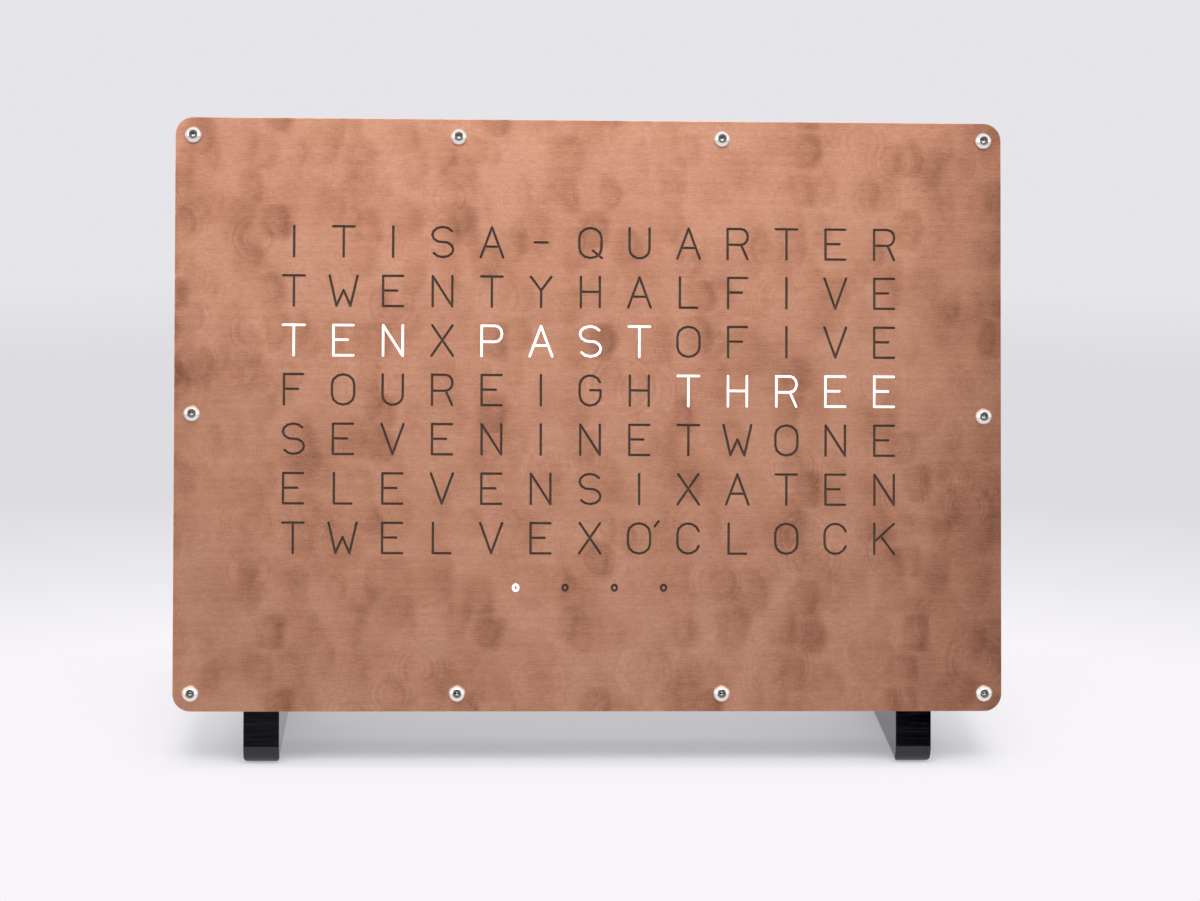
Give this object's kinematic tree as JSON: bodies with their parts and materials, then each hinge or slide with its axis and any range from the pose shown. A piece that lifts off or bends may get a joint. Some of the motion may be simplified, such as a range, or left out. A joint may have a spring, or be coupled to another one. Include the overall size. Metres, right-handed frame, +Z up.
{
  "type": "word clock",
  "caption": "Table clock that shows the time as lit words in a brushed copper face, leaning back on two feet, with setting buttons and a power socket behind.",
  "frame": {"origin": "middle of the clock's footprint, on the table", "axes": "+X to the right along the face, -Y the way the face looks, +Z up"},
  "size_m": [0.28, 0.1054, 0.2135],
  "materials": {
    "copper": "brushed lengthways, with faint swirls",
    "smoky_plastic": "smoky and translucent",
    "black_plastic": "fine matt",
    "gloss_black": "polished",
    "strip_white": "white film with small square lamps",
    "carrier_board": "matt",
    "wire_red": "insulation",
    "wire_black": "insulation",
    "grommet_rubber": "matt",
    "stainless": "polished",
    "brass": "bright",
    "board_green": "solder mask",
    "module_blue": "solder mask",
    "nylon_white": "natural nylon",
    "cell_steel": "satin",
    "can_blue": "sleeved can",
    "button_red": "moulded"
  },
  "bodies": {
    "clock": {"face_plate": "copper", "diffuser_sheet": "smoky_plastic", "light_grid": "black_plastic", "led_strip_1": "strip_white", "led_strip_2": "strip_white", "led_strip_3": "strip_white", "led_strip_4": "strip_white", "led_strip_5": "strip_white", "led_strip_6": "strip_white", "led_strip_7": "strip_white", "minute_led_strip": "strip_white", "led_carrier": "carrier_board", "strip_links": "wire_red", "minute_lead": "wire_red", "led_lead": "wire_black", "lead_grommet": "grommet_rubber", "case_frame": "black_plastic", "back_plate": "black_plastic", "face_screws": "stainless", "face_inserts": "brass", "back_screws": "stainless", "back_inserts": "brass", "carrier_pillars": "brass", "carrier_screws": "stainless", "pillar_screws": "stainless", "foot_left": "gloss_black", "foot_right": "gloss_black", "foot_screws": "stainless", "foot_nuts": "stainless", "controller_board": "board_green", "board_clips": "nylon_white", "controller_module": "module_blue", "clock_chip": "black_plastic", "cell_holder": "black_plastic", "coin_cell": "cell_steel", "smoothing_capacitor": "can_blue", "lead_sockets": "nylon_white", "lead_plugs": "nylon_white", "power_socket": "black_plastic", "power_socket_nut": "stainless", "power_lead": "wire_red", "hour_button_body": "button_red", "hour_button_nut": "stainless", "minute_button_body": "button_red", "minute_button_nut": "stainless", "button_leads": "wire_black"},
    "hour_button": {"hour_button_plunger": "black_plastic"},
    "minute_button": {"minute_button_plunger": "black_plastic"}
  },
  "joints": [
    {"name": "hour_button_press", "type": "slide", "parent": "clock", "child": "hour_button", "axis": [0, -0.9703, 0.2419], "range_m": [0, 0.0015], "stiffness_N_per_m": 1000},
    {"name": "minute_button_press", "type": "slide", "parent": "clock", "child": "minute_button", "axis": [0, -0.9703, 0.2419], "range_m": [0, 0.0015], "stiffness_N_per_m": 1000}
  ]
}
